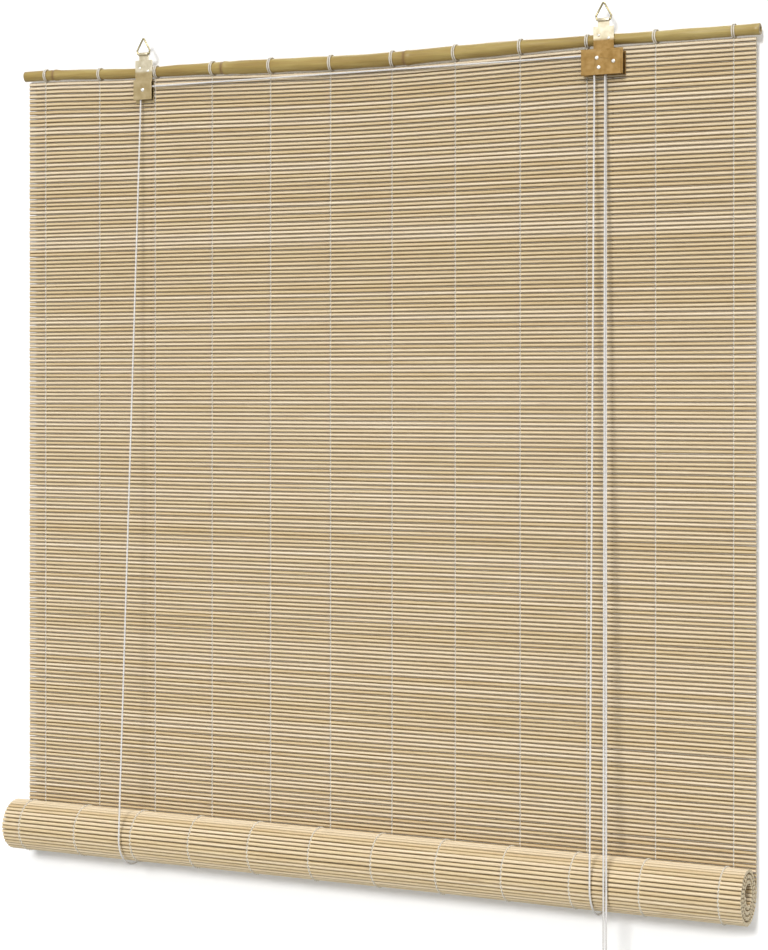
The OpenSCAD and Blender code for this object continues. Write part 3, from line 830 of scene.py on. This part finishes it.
def arc(pin, r, a0, a1, y, steps=10):
    angles = [math.radians(a0 + (a1 - a0) * i / steps) for i in range(steps + 1)]
    return [(pin[0] + r * math.cos(a), y, pin[1] + r * math.sin(a)) for a in angles]


def lock_run(a0, y):
    """Over the lock pulley, round the guide roller and down out of the lock."""
    off = (GUIDE_PIN[0] - LOCK_PIN[0], GUIDE_PIN[1] - LOCK_PIN[1])
    leave = math.degrees(
        math.atan2(off[1], off[0]) + math.acos((GROOVE_LINE_R - GUIDE_LINE_R) / math.hypot(*off))
    )
    return (
        arc(LOCK_PIN, GROOVE_LINE_R, a0, leave, y)
        + arc(GUIDE_PIN, GUIDE_LINE_R, leave, 0, y)
        + [(PULL_X, y, LOCK_FOOT_Z)]
    )


def sling(x):
    angles = [math.pi + math.pi * i / 32 for i in range(33)]
    return [(x, ROLL_Y + SLING_R * math.cos(a), ROLL_Z + SLING_R * math.sin(a)) for a in angles]


def knot_y(x):
    return POLE_Y + float(pole_r(x)) + SOFT_FIT + END_KNOT_R


def pole_height(x):
    return POLE_Z + float(pole_dz(x))


def back_run(x):
    return [(x, SLING_BACK_Y, ROLL_Z), (x, knot_y(x), pole_height(x) - END_KNOT_R)]


ROUTES = {
    "head_cord": arc(LEFT_PIN, GROOVE_LINE_R, 180, 90, LEFT_GROOVE_Y) + lock_run(90, REAR_GROOVE_Y),
    "right_lift_wrap": lock_run(180, FRONT_GROOVE_Y),
    "left_lift_front": [(LEFT_CORD_X, LEFT_GROOVE_Y, LEFT_PIN[1]), (LEFT_LOOP_X, SLING_FRONT_Y, ROLL_Z)],
    "right_lift_front": [(RIGHT_CORD_X, FRONT_GROOVE_Y, LOCK_PIN[1]), (RIGHT_LOOP_X, SLING_FRONT_Y, ROLL_Z)],
    "left_lift_loop": sling(LEFT_LOOP_X),
    "right_lift_loop": sling(RIGHT_LOOP_X),
    "left_lift_back": back_run(LEFT_LOOP_X),
    "right_lift_back": back_run(RIGHT_LOOP_X),
    "front_pull_upper": [(PULL_X, FRONT_GROOVE_Y, LOCK_FOOT_Z), (FRONT_PULL_X, SLING_FRONT_Y, ROLL_Z)],
    "rear_pull_upper": [(PULL_X, REAR_GROOVE_Y, LOCK_FOOT_Z), (REAR_PULL_X, SLING_FRONT_Y, ROLL_Z)],
    "front_pull_tail": [(FRONT_PULL_X, SLING_FRONT_Y, ROLL_Z), (FRONT_PULL_X, SLING_FRONT_Y, TAIL_Z)],
    "rear_pull_tail": [(REAR_PULL_X, SLING_FRONT_Y, ROLL_Z), (REAR_PULL_X, SLING_FRONT_Y, TAIL_Z)],
}
FRONT_RUNS = ("left_lift_front", "right_lift_front", "front_pull_upper", "rear_pull_upper")
# A front run bends this often over the raised roll, and by this angle before it meets its loop
HUG_STEPS = 3
LAST_TURN = math.radians(23.5)
# A lift cord drops this far off its wheel, with this much of its resting length, before it leans forward
WHEEL_DROP = 9 * MM
WHEEL_LENGTH = 34 * MM


def hug_marks(top, on_wheel):
    """Where a front run bends once the roll is up: depth, and height over the roll's axis."""
    marks = [(top.y, top.z - ROLL_Z - LIFT_RANGE)]
    if on_wheel:
        forward = (top.y - SLING_FRONT_Y) * WHEEL_LENGTH / (top.z - ROLL_Z)
        marks.append((top.y - forward, marks[0][1] - WHEEL_DROP))
    across, above = marks[-1][0] - ROLL_Y, marks[-1][1]
    touch = math.atan2(above, across) + math.acos(SLING_R / math.hypot(across, above))
    turn = (math.pi - LAST_TURN - touch) / HUG_STEPS
    out = SLING_R / math.cos(LAST_TURN / 2)
    bends = [touch + turn * i for i in range(HUG_STEPS + 1)]
    marks += [(ROLL_Y + out * math.cos(a), out * math.sin(a)) for a in bends]
    return marks + [(SLING_FRONT_Y, 0.0)]


def front_lengths(top, foot, on_wheel):
    """A front run in lengths, each given a share of its own to shorten by, about a height of its own.

    At rest they make one straight line, and the shares and heights are those that would lay them over the
    raised roll.
    """
    top, foot = Vector(top), Vector(foot)
    marks = hug_marks(top, on_wheel)
    spots = [top.lerp(foot, (y - top.y) / (foot.y - top.y)) for y, _ in marks]
    lengths = []
    for i, (a, b) in enumerate(zip(spots, spots[1:])):
        keep = (marks[i][1] - marks[i + 1][1]) / (a.z - b.z)
        raised = ROLL_Z + LIFT_RANGE + marks[i][1]
        lengths.append(([a, b], keep, (raised - keep * a.z) / (1 - keep)))
    return lengths


def keep_share(top):
    """Share of a run's height that is left when the roll is up."""
    height = top - ROLL_Z
    return (height - LIFT_RANGE) / height


# Each entry: CAD node, piece, its points, and the share that it shortens to with the height that stays
CORD_PIECES = []
for node, route in ROUTES.items():
    if node in FRONT_RUNS:
        run = 0.0
        for i, (stretch, keep, height) in enumerate(front_lengths(*route, "lift" in node)):
            piece, spots = cord_piece(f"{node}_laid_{i + 1}", stretch, run)
            run += path_length(spots)
            CORD_PIECES.append((node, piece, spots, (keep, height)))
    else:
        piece, spots = cord_piece(node + "_laid", route)
        top = pole_height(route[0][0])
        shortening = (keep_share(top), top) if node.endswith("_back") else None
        CORD_PIECES.append((node, piece, spots, shortening))


# Knots: a cord drawn into a tight overhand ball
def knot_piece(name, centre, size):
    steps = 96
    sides = 8
    strand = size * 0.34
    ring = size - strand
    spots = []
    for t in ring_angles(steps):
        r = ring * (0.62 + 0.38 * math.cos(3 * t))
        spots.append(
            Vector(
                (
                    centre[0] + r * math.cos(2 * t),
                    centre[1] + r * math.sin(2 * t),
                    centre[2] + ring * 0.85 * math.sin(3 * t),
                )
            )
        )
    points = []
    for i in range(steps):
        ahead = (spots[(i + 1) % steps] - spots[i - 1]).normalized()
        out = (spots[i] - Vector(centre)).normalized()
        side = ahead.cross(out).normalized()
        up = side.cross(ahead)
        for a in ring_angles(sides):
            points.append(spots[i] + side * (strand * math.cos(a)) + up * (strand * math.sin(a)))
    return piece_from(name, points, tube_faces(steps, sides, closed=True), COTTON)


pull_knot = knot_piece("pull_knot_tied", (PULL_LOW_X, SLING_FRONT_Y, TAIL_Z - KNOT_R), KNOT_R)
end_knots = [
    knot_piece(side + "_end_knot", (x, knot_y(x), pole_height(x)), END_KNOT_R)
    for side, x in (("left", LEFT_LOOP_X), ("right", RIGHT_LOOP_X))
]


# CAD nodes that keep their shape: sheet metal, wheels, rivets, nails and wire
WELD_GAP = 0.002 * MM
SHARP = math.radians(35)


def dress(node, material, bevel):
    """Gives a node its finish and eases its sharp edges."""
    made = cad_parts[node]
    made.data.materials.clear()
    made.data.materials.append(material)
    weld = made.modifiers.new("joined", "WELD")
    weld.merge_threshold = WELD_GAP
    ease = made.modifiers.new("eased", "BEVEL")
    ease.width = bevel
    ease.segments = 2
    ease.limit_method = "ANGLE"
    ease.angle_limit = SHARP


for material, bevel, nodes in (
    (BRASS, 0.25 * MM, ("left_front_plate", "left_back_plate")),
    (BRONZED, 0.25 * MM, ("lock_front_plate", "lock_back_plate", "lock_cam")),
    (WIRE, 0.02 * MM, ("left_hanger", "right_hanger")),
    (BRIGHT, 0.12 * MM, ("left_pulley", "lock_pulley", "lock_guide_roller")),
    (BRIGHT, 0.2 * MM, ("left_pulley_rivet", "lock_rivets", "bracket_nails")),
):
    for node in nodes:
        dress(node, material, bevel)


# What moves with what
def stand_for(piece, node, body):
    """Puts a piece in a node's place, on a body if one is given."""
    if body:
        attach(piece, body)
    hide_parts(node)


stand_for(pole, "head_pole", "head")
stand_for(lashings, "pole_lashings", "head")
stand_for(mat, "reed_mat", "head")
stand_for(warps, "warp_threads", "head")
stand_for(roll, "mat_roll", "roll")
stand_for(roll_warps, "roll_threads", "roll")
stand_for(end_knots[0], "cord_knots", "head")
stand_for(end_knots[1], "cord_knots", "head")
stand_for(pull_knot, "pull_knot", "pull_end")
for piece in (mat, warps):
    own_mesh(piece)

RIDES = {
    "head_cord": "head",
    "right_lift_wrap": "head",
    "left_lift_front": "head",
    "right_lift_front": "head",
    "left_lift_back": "head",
    "right_lift_back": "head",
    "front_pull_upper": "head",
    "rear_pull_upper": "head",
    "left_lift_loop": "slings",
    "right_lift_loop": "slings",
}
for node, piece, spots, shortening in CORD_PIECES:
    stand_for(piece, node, RIDES.get(node))
    if shortening:
        keep, height = shortening
        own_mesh(piece)
    if node.endswith("_tail"):
        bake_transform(piece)


# Studio: a white wall close behind that shows only from the front, a pale floor, soft lamps and an even sky
WALL_LIFT = 0.07
WALL_Y = 21 * MM
WALL_HALF = 4
WALL_TOP = 2.5
# The knot goes down by twice the lift, and the floor leaves room for it
FLOOR_Z = TAIL_Z - 2 * LIFT_RANGE - 60 * MM
FLOOR_HALF = 6
SKY_LEVEL = 0.17


def studio_material(name, colour, one_sided):
    made, tree, shader = new_material(name)
    shader.inputs["Base Color"].default_value = linear(colour)
    shader.inputs["Roughness"].default_value = 1.0
    shader.inputs["Specular IOR Level"].default_value = 0.0
    if one_sided:
        # The camera alone sees the wall a little brighter, so that it is white where no shadow falls
        seen = add(tree, "ShaderNodeLightPath").outputs["Is Camera Ray"]
        lift = add(tree, "ShaderNodeMath", {"operation": "MULTIPLY"}, i0=seen, i1=WALL_LIFT)
        shader.inputs["Emission Color"].default_value = linear("#ffffff")
        tree.links.new(lift.outputs[0], shader.inputs["Emission Strength"])
        # Only the camera sees it, and only from the front, so that light still reaches the blind's back
        behind = add(tree, "ShaderNodeNewGeometry").outputs["Backfacing"]
        front = add(tree, "ShaderNodeMath", {"operation": "SUBTRACT"}, i0=1.0, i1=behind)
        shown = add(tree, "ShaderNodeMath", {"operation": "MULTIPLY"}, i0=front.outputs[0], i1=seen)
        clear = add(tree, "ShaderNodeBsdfTransparent")
        mix = add(tree, "ShaderNodeMixShader", i0=shown.outputs[0], i1=clear.outputs[0], i2=shader.outputs[0])
        tree.links.new(mix.outputs[0], tree.nodes["Material Output"].inputs["Surface"])
    return made


wall = piece_from(
    "wall",
    [
        (-WALL_HALF, WALL_Y, FLOOR_Z),
        (WALL_HALF, WALL_Y, FLOOR_Z),
        (WALL_HALF, WALL_Y, WALL_TOP),
        (-WALL_HALF, WALL_Y, WALL_TOP),
    ],
    [(0, 1, 2, 3)],
    studio_material("white_wall", "#ffffff", True),
    smooth=False,
)
floor = piece_from(
    "floor",
    [(FLOOR_HALF * x, FLOOR_HALF * y, FLOOR_Z) for x, y in ((-1, -1), (1, -1), (1, 1), (-1, 1))],
    [(0, 1, 2, 3)],
    studio_material("pale_floor", "#d6d6d3", False),
    smooth=False,
)

# Each lamp: its strength, its width in degrees and the way it shines
for name, energy, width, shines in (
    ("front_lamp", 1.98, 12, (-0.06, 0.92, -0.38)),
    ("top_lamp", 1.7, 60, (-0.38, 0.45, -0.82)),
    ("back_lamp", 0.8, 40, (0.2, -0.8, -0.55)),
):
    lamp = bpy.data.objects.new(name, bpy.data.lights.new(name, "SUN"))
    lamp.data.energy = energy
    lamp.data.angle = math.radians(width)
    lamp.rotation_euler = Vector(shines).to_track_quat("-Z", "Y").to_euler()
    bpy.context.collection.objects.link(lamp)

world = bpy.data.worlds.new("even_sky")
world.use_nodes = True
sky_tree = world.node_tree
sky = sky_tree.nodes["Background"]
sky.inputs["Color"].default_value = linear("#ffffff")
# The sky is white where it is seen or mirrored, and dim as a light
ray = add(sky_tree, "ShaderNodeLightPath")
seen = ray.outputs["Is Camera Ray"]
for kind in ("Is Glossy Ray", "Is Transmission Ray"):
    seen = add(sky_tree, "ShaderNodeMath", {"operation": "MAXIMUM"}, i0=seen, i1=ray.outputs[kind]).outputs[0]
level = add(sky_tree, "ShaderNodeMapRange", Value=seen, i3=SKY_LEVEL, i4=1.0)
sky_tree.links.new(level.outputs[0], sky.inputs["Strength"])
bpy.context.scene.world = world
